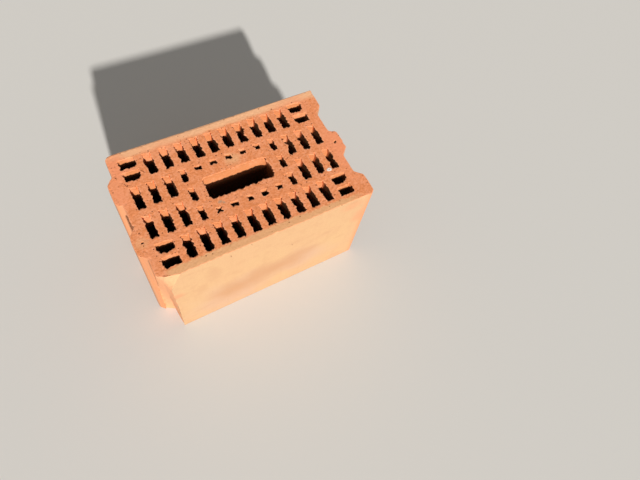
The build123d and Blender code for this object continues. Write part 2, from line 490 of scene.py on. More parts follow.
def wall_swell(point, inward, hole, sizes):
    """How far a hole's wall stands into the hole."""
    depth = bed_depth(point.z)
    steady = ripple((point.x, point.y, point.z * 0.08), 0.011, 7.7)
    swell = sizes.wall_relief * steady
    if depth < TORN_LIMIT:
        flat = Vector((point.x, point.y, point.z * 0.6))
        torn = 0.75 * ripple(flat, 0.0027) + 0.6 * ripple(flat, 0.0056, 3.1)
        chip = max(0.0, ripple(flat, 0.009, 15.3) - 0.45)
        torn = tear_of(sizes, inward, hole) * torn - sizes.rim_chips * chip
        swell += torn * fade(depth, sizes.tear_depth)
        swell += lump_swell(point)
    return swell


def bed_fall(point, sizes):
    """How far a bed lies below the block's box."""
    flat = (point.x, point.y, 0.0)
    fall = sizes.bed_drop + sizes.bed_waves * ripple(flat, 0.02, 1.3)
    fall += sizes.bed_grain * ripple(flat, 0.0035, 4.4)
    return max(fall, 0.0) + sizes.bed_dents * max(0.0, ripple(flat, 0.0045, 12.5) - 0.7)


def burr_share(point, inward):
    """0 to about 1: where the wire left burrs on the front rims."""
    return max(0.0, ripple((point.x, point.y, 0.0), 0.0034, 21.0)) * max(inward.y, 0.0)


def skin_fall(point, sizes):
    """How far an extruded face lies inside the block's box."""
    long_waves = ripple((point.x, point.y, point.z * 0.4), 0.045, 9.2)
    short_waves = ripple((point.x, point.y, point.z * 0.15), 0.009, 2.2)
    chip = max(0.0, ripple(point, 0.011, 17.7) - 0.35) + 0.5 * max(0.0, ripple(point, 0.005, 19.1) - 0.3)
    fall = sizes.skin_relief * (0.6 + 0.45 * long_waves + 0.2 * short_waves)
    fall += sizes.arris_chips * chip * fade(HIGH.z - point.z, CHIP_FADE)
    if point.x < RECESS_X and abs(point.y) < RECESS_HALF:
        crumbs = max(0.0, 0.55 + ripple((point.x, point.y, 0.0), 0.006, 23.9))
        fall -= sizes.recess_crumbs * crumbs * fade(HIGH.z - point.z, CRUMB_FADE)
    return fall


def sag_shift(point, hole):
    """Shift of a whole hole that sagged out of its row."""
    for x, y, along, forward in SAGGED_HOLES:
        aside = math.hypot((hole.left + hole.right) / 2 - x * MM, (hole.front + hole.back) / 2 - y * MM)
        if aside < SAG_REACH:
            return Vector((along, -forward, 0.0)) * MM * fade(HIGH.z - point.z, SAG_FADE)
    return Vector()


def knocked_corner(point):
    """Shift of the back left corner, whose top was knocked off."""
    away = math.hypot(point.x - KNOCKED[0] * MM, point.y - KNOCKED[1] * MM) / KNOCK_REACH
    share = math.exp(-away * away) * fade(HIGH.z - point.z, KNOCK_FADE)
    return Vector((1.0, -1.0, 0.0)) * KNOCK * share


def corner_fall(point, sizes):
    """How far the rubbed corners of the tongues lie inside the extruded ones."""
    if abs(point.x) < TONGUE_SHARE * HIGH.x:
        return 0.0
    corners = TONGUE_CORNERS[0 if point.x > 0 else 1]
    away = min(abs(point.y - corner * MM) for corner in corners) / CORNER_REACH
    return sizes.corner_rub * math.exp(-away * away)


def break_swell(point, sizes):
    """Coarse and fine roughness of the break."""
    coarse = ripple(point, 0.014, 6.1)
    stepped = abs(ripple(point, 0.008, 8.8)) - 0.4
    fine = ripple(point, 0.004, 1.9)
    return sizes.break_relief * (0.55 * coarse + 0.7 * stepped + 0.35 * fine)


def along_break(vert):
    """Direction along the skin, away from the break, at a point where they meet."""
    skin, broken = facing(vert, SKIN), facing(vert, BREAK)
    return (broken - skin * broken.dot(skin)).normalized()


def rounding(distance, radius):
    """How far a point beside a corner moves to round it."""
    return CORNER_SHARE * radius * max(0.0, 1.0 - distance / (ROUNDING_END * radius)) ** 2


def rim_radius(vert, finishes, sizes):
    """Radius that the clay is rounded to where two finishes meet."""
    if PERFORATION in finishes:
        back = max(-facing(vert, PERFORATION).y, 0.0) ** 2
        return sizes.side_round + (sizes.back_round - sizes.side_round) * back
    return sizes.arris_wear * (1.0 + 0.8 * ripple(vert.co, 0.007, 5.5))


class ClaySurface:
    """What is known of each point of the divided block before any of them moves."""

    def __init__(self, block, sizes, holes):
        block.verts.index_update()
        number = block.faces.layers.int[HOLE_NUMBER]
        self.finishes = [finishes_at(vert) for vert in block.verts]
        self.holes = [holes[max(face[number] for face in vert.link_faces)] for vert in block.verts]
        rims = [vert for vert in block.verts if len(self.finishes[vert.index]) > 1]
        radii = [rim_radius(vert, self.finishes[vert.index], sizes) for vert in rims]
        rubs = [1.0 - BACK_RUB * max(-facing(vert, PERFORATION).y, 0.0) for vert in rims]
        tree = KDTree(len(rims))
        for place, vert in enumerate(rims):
            tree.insert(vert.co, place)
        tree.balance()
        nearest = [tree.find(vert.co) for vert in block.verts]
        self.rim_distances = [away for _, _, away in nearest]
        self.rim_radii = [radii[place] for _, place, _ in nearest]
        self.rim_rubs = [rubs[place] for _, place, _ in nearest]

    def nearness(self, reach):
        """For each point, 1 on a rim or arris down to 0 at the given reach; less on back rims."""
        return [near(away, reach) * rub for away, rub in zip(self.rim_distances, self.rim_rubs)]

    def painted_shade(self, block):
        """For each point of a hole's wall, its depth against the depth that low light reaches there; it
        sets the painted shade.
        """
        shelters = []
        for vert, finishes, hole in zip(block.verts, self.finishes, self.holes):
            if PERFORATION not in finishes:
                shelters.append(0.0)
                continue
            ahead = (hole.back - vert.co.y) / (hole.back - hole.front)
            back = max(max(-facing(vert, PERFORATION).y, 0.0) ** 2, near(ahead, LIT_END))
            depth = bed_depth(vert.co.z) / (hole.back - hole.front)
            side = SIDE_PAINTED_SHADE + depth - END_GLOW * near(ahead, GLOWING_END)
            side -= OPEN_GLOW if hole.right - hole.left > SLOT_LIMIT else 0.0
            lit = depth / LIT_SHARE
            lit = min(lit, 1.0) + SHADE_RATE * max(lit - 1.0, 0.0)
            shelters.append(back * lit + (1.0 - back) * side)
        return shelters

    def burrs(self, block):
        """For each point of a rim, how much of a burr stands there; the top bed paints a highlight on the
        burrs by it.
        """
        return [burr_share(vert.co, facing(vert, PERFORATION)) if finishes >= {BED, PERFORATION} else 0.0
                for vert, finishes in zip(block.verts, self.finishes)]


def own_move(vert, surface, sizes):
    """Where a point goes by itself, before the bed follows its rims."""
    finishes = surface.finishes[vert.index]
    point, move = vert.co, Vector()
    inwards = 1 if point.z < (LOW.z + HIGH.z) / 2 else -1
    rounded = rounding(surface.rim_distances[vert.index], surface.rim_radii[vert.index])
    if PERFORATION in finishes:
        inward = facing(vert, PERFORATION)
        hole = surface.holes[vert.index]
        move += inward * (wall_swell(point, inward, hole, sizes) - rounded)
        move += wire_drag(point, hole, sizes) + sag_shift(point, hole)
        if BED in finishes:
            move.z -= inwards * sizes.burr * burr_share(point, inward)
    if SKIN in finishes:
        move -= facing(vert, SKIN) * (skin_fall(point, sizes) + rounded)
        move.x -= math.copysign(corner_fall(point, sizes), point.x)
        if BREAK in finishes:
            move += along_break(vert) * sizes.break_relief * ripple(point, 0.012, 3.3)
    elif BREAK in finishes:
        move += facing(vert, BREAK) * break_swell(point, sizes)
    if BED in finishes:
        move.z += inwards * rounded
    return move


def bed_pull(point, sizes):
    """Upward or downward shift of the clay at and near a bed."""
    fall = bed_fall(point, sizes) * fade(bed_depth(point.z), BED_FADE)
    return -fall if point.z > (LOW.z + HIGH.z) / 2 else fall


def follow_rims(block, moves, surface, rounds=40, hold=0.965):
    """Lets the bed's inner points follow the sideways moves of the rims beside them."""
    inner = np.array([finishes == {BED} for finishes in surface.finishes])
    pairs = np.array([(edge.verts[0].index, edge.verts[1].index) for edge in block.edges
                      if inner[edge.verts[0].index] or inner[edge.verts[1].index]])
    ends = np.concatenate([pairs[:, 0], pairs[:, 1]])
    others = np.concatenate([pairs[:, 1], pairs[:, 0]])
    count = np.maximum(np.bincount(ends, minlength=len(inner)), 1)
    for _ in range(rounds):
        for axis in (0, 1):
            mean = np.bincount(ends, weights=moves[others, axis], minlength=len(inner)) / count
            moves[inner, axis] = hold * mean[inner]


def turned(points, corners):
    """Each triangle's outward direction, as long as twice its area."""
    first, second, third = (points[corners[:, turn]] for turn in range(3))
    return np.cross(second - first, third - first)


def ease_folds(block, moves, rounds=40, hold=0.85):
    """Shortens the moves of points round which the clay would fold over itself."""
    start = np.array([vert.co for vert in block.verts])
    corners = np.array([[vert.index for vert in face.verts] for face in block.faces])
    before = turned(start, corners)
    for _ in range(rounds):
        after = turned(start + moves, corners)
        spans = np.linalg.norm(before, axis=1) * np.linalg.norm(after, axis=1)
        folded = (before * after).sum(axis=1) < FOLD_LIMIT * spans
        if not folded.any():
            break
        moves[np.unique(corners[folded])] *= hold


def shape_clay(block, surface, sizes):
    """Moves every point of the divided block by the relief of its surfaces."""
    moves = np.array([own_move(vert, surface, sizes) for vert in block.verts])
    follow_rims(block, moves, surface)
    ease_folds(block, moves)
    for vert, move in zip(block.verts, moves):
        place = vert.co + Vector(move) + knocked_corner(vert.co)
        if bed_depth(vert.co.z) < TORN_LIMIT:
            place.z += bed_pull(vert.co, sizes)
        vert.co = [min(max(place[axis], LOW[axis]), HIGH[axis]) for axis in range(3)]


def sharpen_borders(block):
    """Crisp arrises round the beds and soft clay everywhere else."""
    for face in block.faces:
        face.smooth = True
    for edge in block.edges:
        meeting = {face.material_index for face in edge.link_faces}
        edge.smooth = meeting not in ({BED, SKIN}, {BED, BREAK}, {SKIN, BREAK})


def block_object(block, name, values):
    """Object with the block's mesh and one named value for each point and name."""
    mesh = bpy.data.meshes.new(name)
    block.to_mesh(mesh)
    for key, numbers in values.items():
        mesh.attributes.new(key, "FLOAT", "POINT").data.foreach_set("value", numbers)
    piece = bpy.data.objects.new(name, mesh)
    bpy.context.scene.collection.objects.link(piece)
    return piece


# Shader wiring

class Wiring:
    """Places shader nodes in one tree and joins them."""

    def __init__(self, tree):
        self.tree = tree

    def node(self, kind, inputs=(), **settings):
        made = self.tree.nodes.new(kind)
        for key, value in settings.items():
            setattr(made, key, value)
        for key, value in dict(inputs).items():
            if isinstance(value, bpy.types.NodeSocket):
                self.tree.links.new(value, made.inputs[key])
            else:
                made.inputs[key].default_value = value
        return made

    def math(self, operation, first, second=0.0):
        return self.node("ShaderNodeMath", {0: first, 1: second}, operation=operation).outputs[0]

    def plus(self, first, second):
        return self.math("ADD", first, second)

    def minus(self, first, second):
        return self.math("SUBTRACT", first, second)

    def times(self, first, second):
        return self.math("MULTIPLY", first, second)

    def over(self, first, second):
        return self.math("DIVIDE", first, second)

    def higher(self, first, second):
        return self.math("MAXIMUM", first, second)

    def vector(self, operation, first, second=(0, 0, 0)):
        made = self.node("ShaderNodeVectorMath", {0: first, 1: second}, operation=operation)
        return made.outputs["Value" if operation in ("DISTANCE", "DOT_PRODUCT", "LENGTH") else "Vector"]

    def rise(self, value, start, end):
        """0 to 1 as the value goes from start to end."""
        made = self.node("ShaderNodeMapRange", {"Value": value, "From Min": start, "From Max": end},
                         interpolation_type="SMOOTHSTEP")
        return made.outputs["Result"]

    def mix(self, share, base, over):
        made = self.node("ShaderNodeMix", {0: share, 6: base, 7: over}, data_type="RGBA")
        return made.outputs[2]

    def tint(self, base, colour, mask, strength):
        """Lays a colour over another one by the mask's share of the strength."""
        return self.mix(self.times(mask, strength), base, opaque(colour))

    def noise(self, vector, size, detail=2.0, roughness=0.5):
        made = self.node("ShaderNodeTexNoise", {"Vector": vector, "Scale": 1.0 / size, "Detail": detail,
                                                "Roughness": roughness})
        return made.outputs["Fac"]

    def stretched(self, vector, scale):
        return self.node("ShaderNodeMapping", {"Vector": vector, "Scale": scale}).outputs["Vector"]

    def split(self, vector):
        return self.node("ShaderNodeSeparateXYZ", {0: vector}).outputs

    def use(self, tree, **inputs):
        """Places a node group and joins or sets its inputs."""
        made = self.node("ShaderNodeGroup", node_tree=tree)
        for key, value in inputs.items():
            socket = made.inputs[key.capitalize()]
            if isinstance(value, bpy.types.NodeSocket):
                self.tree.links.new(value, socket)
            else:
                socket.default_value = value
        return made.outputs

    def mask(self, tree, **inputs):
        return self.use(tree, **inputs)["Mask"]


def opaque(values):
    return (*values, 1.0)


def new_group(name, inputs, outputs):
    """Wiring and input sockets of a new shader group with named sockets."""
    tree = bpy.data.node_groups.new(name, "ShaderNodeTree")
    kinds = {"float": "NodeSocketFloat", "vector": "NodeSocketVector", "colour": "NodeSocketColor"}
    for socket, kind in inputs.items():
        tree.interface.new_socket(socket, in_out="INPUT", socket_type=kinds[kind])
    for socket, kind in outputs.items():
        tree.interface.new_socket(socket, in_out="OUTPUT", socket_type=kinds[kind])
    wiring = Wiring(tree)
    return wiring, wiring.node("NodeGroupInput").outputs


def close_group(wiring, **results):
    """Joins the results to the group's outputs; returns the finished group."""
    end = wiring.node("NodeGroupOutput")
    for key, value in results.items():
        wiring.tree.links.new(value, end.inputs[key.capitalize()])
    return wiring.tree


def mottle_group():
    """Uneven body colour: soft mottles, short ones and the grain of the clay."""
    wiring, given = new_group(
        "Clay mottle",
        {"Vector": "vector", "Base": "colour", "Pale": "colour", "Deep": "colour", "Size": "float",
         "Contrast": "float"},
        {"Colour": "colour", "Height": "float"})
    sized = wiring.vector("MULTIPLY", given["Vector"], given["Size"])
    soft = wiring.noise(sized, 0.024, 3.0, 0.55)
    patchy = wiring.noise(sized, 0.0055, 3.0, 0.6)
    grain = wiring.noise(given["Vector"], 0.003, 2.0, 0.6)
    paled = wiring.mix(wiring.times(wiring.rise(soft, 0.45, 0.65), 0.5), given["Base"], given["Pale"])
    mottled = wiring.mix(wiring.times(wiring.rise(patchy, 0.48, 0.66), 0.4), paled, given["Deep"])
    dark_grain = wiring.times(wiring.rise(grain, 0.5, 0.64), given["Contrast"])
    light_grain = wiring.times(wiring.rise(grain, 0.48, 0.34), given["Contrast"])
    grained = wiring.mix(dark_grain, mottled, given["Deep"])
    grained = wiring.mix(light_grain, grained, given["Pale"])
    height = wiring.plus(wiring.times(patchy, 0.4), grain)
    return close_group(wiring, colour=grained, height=height)


def pits_group(name, dimensions):
    """Scattered pits: a share of the cells holds one, each with its own size."""
    wiring, given = new_group(
        name, {"Vector": "vector", "Spacing": "float", "Share": "float", "Breadth": "float"},
        {"Mask": "float"})
    bent = wiring.node("ShaderNodeTexNoise", {"Vector": given["Vector"], "Scale": 700.0}).outputs["Color"]
    nudge = wiring.vector("SCALE", wiring.vector("SUBTRACT", bent, (0.5, 0.5, 0.5)))
    nudge.node.inputs["Scale"].default_value = 0.0014
    placed = wiring.vector("ADD", given["Vector"], nudge)
    cells = wiring.node("ShaderNodeTexVoronoi", {"Vector": placed,
                                                 "Scale": wiring.over(1.0, given["Spacing"])},
                        voronoi_dimensions=dimensions)
    draw = wiring.split(cells.outputs["Color"])
    chosen = wiring.math("LESS_THAN", draw[0], given["Share"])
    own_size = wiring.times(wiring.plus(draw[1], 0.35), given["Breadth"])
    depth = wiring.minus(1.0, wiring.over(cells.outputs["Distance"], own_size))
    return close_group(wiring, mask=wiring.times(chosen, wiring.rise(depth, 0.0, 0.5)))


def draw_lines_group():
    """Faint upright lines that the extruder's mouth leaves on a face."""
    wiring, given = new_group("Draw lines", {"Vector": "vector", "Spacing": "float"}, {"Mask": "float"})
    along = wiring.stretched(given["Vector"], (1.0, 1.0, 0.04))
    sized = wiring.node("ShaderNodeTexNoise", {"Vector": along, "Detail": 3.0, "Roughness": 0.6,
                                               "Scale": wiring.over(1.0, given["Spacing"])})
    return close_group(wiring, mask=sized.outputs["Fac"])


def patch_group():
    """A soft patch round one place with an uneven outline."""
    wiring, given = new_group(
        "Soft patch", {"Vector": "vector", "Centre": "vector", "Stretch": "vector", "Radius": "float",
                       "Softness": "float"}, {"Mask": "float"})
    offset = wiring.vector("SUBTRACT", given["Vector"], given["Centre"])
    away = wiring.vector("MULTIPLY", offset, given["Stretch"])
    share = wiring.over(wiring.vector("LENGTH", away), given["Radius"])
    ripples = wiring.node("ShaderNodeTexNoise", {"Vector": given["Vector"], "Detail": 3.0,
                                                 "Scale": wiring.over(1.1, given["Radius"])})
    uneven = wiring.times(wiring.minus(ripples.outputs["Fac"], 0.5), 0.9)
    share = wiring.plus(share, uneven)
    inner = wiring.minus(1.0, given["Softness"])
    mask = wiring.node("ShaderNodeMapRange", {"Value": share, "From Min": 1.0, "From Max": inner},
                       interpolation_type="SMOOTHSTEP")
    return close_group(wiring, mask=mask.outputs["Result"])


def crack_group():
    """A hairline crack between two places that wanders and thins out."""
    wiring, given = new_group(
        "Hairline crack", {"Vector": "vector", "Start": "vector", "End": "vector", "Width": "float"},
        {"Mask": "float"})
    wander = wiring.node("ShaderNodeTexNoise", {"Vector": given["Vector"], "Scale": 260.0, "Detail": 2.0})
    nudge = wiring.vector("SCALE", wiring.vector("SUBTRACT", wander.outputs["Color"], (0.5, 0.5, 0.5)))
    nudge.node.inputs["Scale"].default_value = 0.0045
    place = wiring.vector("SUBTRACT", wiring.vector("ADD", given["Vector"], nudge), given["Start"])
    run = wiring.vector("SUBTRACT", given["End"], given["Start"])
    along = wiring.over(wiring.vector("DOT_PRODUCT", place, run), wiring.vector("DOT_PRODUCT", run, run))
    held = wiring.node("ShaderNodeClamp", {"Value": along}).outputs["Result"]
    foot = wiring.vector("SCALE", run)
    wiring.tree.links.new(held, foot.node.inputs["Scale"])
    off = wiring.over(wiring.vector("DISTANCE", place, foot), given["Width"])
    return close_group(wiring, mask=wiring.rise(off, 1.0, 0.3))


def rubbed_group():
    """Uneven mask of the rubbed clay beside rims and arrises."""
    wiring, given = new_group(
        "Rubbed edge", {"Vector": "vector", "Nearness": "float", "Amount": "float"}, {"Mask": "float"})
    uneven = wiring.noise(given["Vector"], 0.005, 3.0, 0.6)
    reach = wiring.plus(given["Nearness"], wiring.minus(uneven, 0.5))
    return close_group(wiring, mask=wiring.times(wiring.rise(reach, 0.5, 1.0), given["Amount"]))


class ClayGroups:
    """The effects that the finishes share."""

    def __init__(self):
        self.mottle = mottle_group()
        self.bed_pits = pits_group("Bed pits", "2D")
        self.pits = pits_group("Clay pits", "3D")
        self.lines = draw_lines_group()
        self.patch = patch_group()
        self.crack = crack_group()
        self.rubbed = rubbed_group()


def new_material(name):
    """New material, its wiring and its Object coordinates."""
    material = bpy.data.materials.new(name)
    material.use_nodes = True
    material.node_tree.nodes.clear()
    wiring = Wiring(material.node_tree)
    return material, wiring, wiring.node("ShaderNodeTexCoord").outputs["Object"]


def finish_material(wiring, colour_out, roughness, height, relief):
    """Joins colour, roughness and relief to a rough ceramic shader."""
    bump = wiring.node("ShaderNodeBump", {"Height": height, "Distance": relief, "Strength": 1.0})
    shader = wiring.node("ShaderNodeBsdfPrincipled", {
        "Base Color": colour_out, "Roughness": roughness, "Normal": bump.outputs["Normal"],
        "Specular IOR Level": 0.25})
    wiring.node("ShaderNodeOutputMaterial", {"Surface": shader.outputs["BSDF"]})


def point_value(wiring, name):
    """One of the values that the block's points carry."""
    return wiring.node("ShaderNodeAttribute", attribute_name=name).outputs["Fac"]


# Stains and marks: colour, centre, stretch, radius, softness and strength, with places and radii in mm

BED_PATCHES = (
    ("stain", (3, 36, 236), (0.8, 1, 0.2), 15, 0.7, 1.0),
    ("stain", (-179, -49, 236), (1, 1, 0.2), 13, 0.6, 0.55),
    ("ash", (-48, -31, 236), (1, 1.3, 0.2), 5.0, 0.6, 1.0),
    ("ash", (-43, -34, 236), (1, 1, 0.2), 3.0, 0.6, 0.9),
    ("bed_deep", (-10, -60, 236), (0.6, 1.2, 0.2), 60, 0.9, 0.3),
    ("bed_warm", (-180, 40, 236), (1.2, 0.7, 0.2), 30, 0.9, 0.7),
    ("bed_pale", (-168, -80, 236), (1, 0.9, 0.2), 30, 0.9, 0.35),
    ("bed_pale", (-90, 98, 236), (0.4, 1, 0.2), 30, 0.9, 0.5),
    ("bed_warm", (140, 88, 236), (0.6, 0.8, 0.2), 34, 0.9, 0.7),
    ("bed_warm", (184, -10, 236), (1.0, 0.4, 0.2), 40, 0.9, 1.0),
    ("bed_warm", (-170, 92, 236), (0.8, 0.8, 0.2), 36, 0.9, 1.0),
)
BED_CRACKS = (
    ((84, 0, 236), (95, 4, 236), 0.9),
    ((94, 50, 236), (95, 64, 236), 0.8),
    ((-132, 66, 236), (-136, 72, 236), 1.2),
    ((-148, 56, 236), (-146, 62, 236), 0.8),
    ((-166, 52, 236), (-167, 58, 236), 0.9),
    ((-170, -111, 236), (-164, -113, 236), 1.1),
    ((-162, -113.5, 236), (-160.5, -114, 236), 1.2),
)
SKIN_PATCHES = (
    ("skin_cream", (-130, -118, 60), (1, 1, 0.7), 44, 0.9, 0.6),
    ("skin_cream", (118, -118, 90), (0.8, 1, 0.8), 44, 0.9, 0.5),
    ("skin_grey", (-75, -118, 60), (0.6, 1, 0.75), 62, 0.8, 0.85),
    ("skin_grey", (62, -118, 78), (0.5, 1, 0.8), 50, 0.9, 0.8),
    ("skin_deep", (-58, -118, 78), (0.55, 1, 0.9), 46, 0.95, 1.0),
    ("skin_deep", (18, -118, 92), (0.5, 1, 0.9), 44, 0.95, 1.0),
    ("skin_deep", (70, -118, 104), (0.6, 1, 1.2), 30, 0.95, 0.6),
    ("skin_deep", (-100, -118, 185), (1.4, 1, 0.7), 26, 0.9, 0.4),
    ("skin_deep", (-120, -118, 140), (1.4, 1, 0.9), 22, 0.9, 0.4),
    ("skin_pink", (178, -118, 165), (1, 1, 0.8), 26, 0.9, 0.8),
    ("skin_pink", (-163, -118, 152), (1.2, 1, 1.8), 26, 0.9, 0.8),
    ("skin_pink", (152, -118, 216), (0.8, 1, 1.2), 26, 0.9, 0.6),
    ("skin_pink", (150, -118, 15), (0.7, 1, 1.4), 24, 0.9, 0.45),
)
SKIN_NICKS = (
    ((-154.6, -118, 229), (-154, -118, 224), 1.0),
    ((-68.5, -118, 224), (-67.5, -118, 218), 1.1),
    ((40, -118, 166), (42.5, -118, 160), 0.8),
    ((-36, -118, 236), (-33, -118, 230), 0.7),
)
LIME_PLACE = (141.5, -47.5, 236)

# Where masks begin and end along one axis, in metres
FRONT_BAND, BACK_BAND = (-0.106, -0.110), (0.099, 0.107)
FRONT_BAND_ENDS = ((0.18, 0.14), (-0.170, -0.158))
UNPITTED_BANDS = ((-0.108, -0.100), (0.108, 0.100))
END_SKINS = ((-0.1765, -0.1805), (0.172, 0.188))
# Where the painted light on the break begins and ends: low down, and beside the front face
BREAK_FOOT, BREAK_BESIDE_FACE = (0.19, 0.13), (-0.088, -0.096)


def in_metres(place):
    return tuple(part * MM for part in place)


def patched(wiring, groups, place, base, colours, patches):
    """Lays the stains over a colour one after another."""
    for name, centre, stretch, radius, softness, strength in patches:
        mask = wiring.mask(groups.patch, vector=place, centre=in_metres(centre), stretch=stretch,
                           radius=radius * MM, softness=softness)
        base = wiring.tint(base, getattr(colours, name), mask, strength)
    return base


def cracked(wiring, groups, place, cracks):
    """One mask of all the listed cracks."""
    total = 0.0
    for start, end, width in cracks:
        mask = wiring.mask(groups.crack, vector=place, start=in_metres(start), end=in_metres(end),
                           width=width * MM)
        total = wiring.higher(total, mask)
    return total


def mottled(wiring, groups, place, base, pale, deep, size, contrast):
    """Colour and height of uneven clay."""
    return wiring.use(groups.mottle, vector=place, base=opaque(base), pale=opaque(pale), deep=opaque(deep),
                      size=size, contrast=contrast)


def rubbed_pale(wiring, groups, place, tone, colours, amount):
    """Lays the rim's pale colour over a tone where the clay is rubbed."""
    mask = wiring.mask(groups.rubbed, vector=place, nearness=point_value(wiring, "rim_nearness"),
                       amount=amount)
    return wiring.mix(mask, tone, opaque(colours.rim))


def pit_mask(wiring, group, place, spacing, share, breadth):
    return wiring.mask(group, vector=place, spacing=spacing, share=share, breadth=breadth)


def scaled(wiring, value, factor, base):
    """A value times a factor on top of a base."""
    return wiring.plus(wiring.times(value, factor), base)


def bed_bands(wiring, place, base, colours):
    """Skin clay that shows as a sandy band along the front and a pale one along the back arris."""
    parts = wiring.split(place)
    along = parts["X"]
    waver = wiring.times(wiring.minus(wiring.noise(place, 0.011, 4.0, 0.7), 0.5), 0.012)
    across = wiring.plus(parts["Y"], waver)
    narrowed = wiring.minus(across, wiring.times(wiring.rise(along, 0.16, 0.02), 0.004))
    front = wiring.rise(narrowed, *FRONT_BAND)
    for limits in FRONT_BAND_ENDS:
        front = wiring.times(front, wiring.rise(along, *limits))
    base = wiring.tint(base, colours.front_band, front, 0.9)
    return wiring.mix(wiring.rise(across, *BACK_BAND), base, opaque(colours.back_band))


def lime_mask(wiring, groups, place):
    """The burnt pebble: a broken pale ring with clay left in its middle."""
    def blob(shift_x, shift_y, radius, softness):
        centre = in_metres((LIME_PLACE[0] + shift_x, LIME_PLACE[1] + shift_y, LIME_PLACE[2]))
        return wiring.mask(groups.patch, vector=place, centre=centre, stretch=(0.85, 1.1, 0.3),
                           radius=radius * MM, softness=softness)
    gap = wiring.times(blob(-2.4, 3.0, 1.6, 0.5), 0.7)
    hollow = wiring.higher(blob(0.4, 0.4, 1.6, 0.5), gap)
    left = wiring.minus(1.0, wiring.times(hollow, 0.65))
    return wiring.times(blob(0, 0, 4.6, 0.35), left)


def bed_material(groups, colours):
    """Wire-cut clay: mottled, pitted and stained."""
    material, wiring, place = new_material("cut_clay_bed")
    clay = mottled(wiring, groups, place, colours.bed, colours.bed_pale, colours.bed_deep, 1.0, 0.85)
    banded = bed_bands(wiring, place, clay["Colour"], colours)
    tone = patched(wiring, groups, place, banded, colours, BED_PATCHES)
    tone = wiring.mix(0.25, tone, clay["Colour"])
    tone = rubbed_pale(wiring, groups, place, tone, colours, 0.7)
    large = pit_mask(wiring, groups.bed_pits, place, 0.0105, 0.3, 0.11)
    small = pit_mask(wiring, groups.bed_pits, place, 0.0055, 0.35, 0.14)
    through = wiring.split(place)["Y"]
    inside = wiring.times(*[wiring.rise(through, *limits) for limits in UNPITTED_BANDS])
    crowded = wiring.times(wiring.rise(wiring.noise(place, 0.03, 2.0), 0.42, 0.6), inside)
    pitted = wiring.higher(large, wiring.times(small, crowded))
    holes = wiring.higher(pitted, cracked(wiring, groups, place, BED_CRACKS))
    tone = wiring.tint(tone, colours.pit, holes, 0.7)
    # Painted highlight on the tips of the burrs along the front rims
    tips = wiring.rise(point_value(wiring, "burr"), 0.25, 0.75)
    tone = wiring.mix(tips, tone, opaque(colours.burr))
    lime = lime_mask(wiring, groups, place)
    tone = wiring.mix(lime, tone, opaque(colours.lime))
    height = wiring.minus(clay["Height"], wiring.times(holes, 1.6))
    height = wiring.plus(height, wiring.times(lime, 0.8))
    finish_material(wiring, tone, scaled(wiring, clay["Height"], 0.08, 0.84), height, relief=0.0005)
    return material


def skin_material(groups, colours):
    """Extruded skin: pale and smooth on the faces, more orange and drawn on the ends."""
    material, wiring, place = new_material("extruded_skin")
    clay = mottled(wiring, groups, place, colours.skin, colours.skin_cream, colours.skin_deep, 0.3, 0.3)
    tone = wiring.mix(0.4, clay["Colour"], opaque(colours.skin))
    tone = patched(wiring, groups, place, tone, colours, SKIN_PATCHES)
    smears = wiring.noise(wiring.stretched(place, (0.3, 1.0, 1.0)), 0.016, 4.0, 0.6)
    tone = wiring.tint(tone, colours.skin_deep, wiring.rise(smears, 0.56, 0.72), 0.35)
    lines = wiring.mask(groups.lines, vector=place, spacing=0.004)
    along = wiring.split(place)["X"]
    end = wiring.higher(*[wiring.rise(along, *limits) for limits in END_SKINS])
    streak = wiring.mix(wiring.rise(lines, 0.35, 0.7), opaque(colours.end_skin), opaque(colours.skin_pink))
    tone = wiring.mix(wiring.times(end, 0.9), tone, streak)
    tone = wiring.tint(tone, colours.skin_deep, wiring.rise(lines, 0.5, 0.75), 0.1)
    specks = pit_mask(wiring, groups.pits, place, 0.009, 0.5, 0.08)
    nicks = wiring.higher(cracked(wiring, groups, place, SKIN_NICKS), wiring.times(specks, 0.4))
    tone = wiring.tint(tone, colours.pit, nicks, 0.6)
    drawn = wiring.times(lines, scaled(wiring, end, 1.6, 0.25))
    height = wiring.plus(wiring.times(clay["Height"], 0.5), drawn)
    height = wiring.minus(height, wiring.times(nicks, 1.5))
    finish_material(wiring, tone, scaled(wiring, lines, 0.15, 0.7), height, relief=0.0002)
    return material


def wall_material(groups, colours):
    """Hole walls: bright drawn clay near the beds, darkened deep inside and on the side walls by painted
    shade.
    """
    material, wiring, place = new_material("perforation_wall")
    clay = mottled(wiring, groups, place, colours.wall, colours.rim, colours.bed_deep, 0.8, 0.3)
    lines = wiring.mask(groups.lines, vector=place, spacing=0.0025)
    tone = wiring.tint(clay["Colour"], colours.bed_deep, wiring.rise(lines, 0.5, 0.75), 0.3)
    tone = rubbed_pale(wiring, groups, place, tone, colours, 0.6)
    # Painted shade: the walls darken where the low light does not reach them, sooner on the side walls
    dark = wiring.rise(point_value(wiring, "painted_shade"), 0.95, 1.3)
    tone = wiring.mix(dark, tone, opaque(colours.wall_painted_shade))
    height = wiring.plus(clay["Height"], wiring.times(lines, 1.5))
    finish_material(wiring, tone, scaled(wiring, lines, 0.1, 0.82), height, relief=0.00025)
    return material


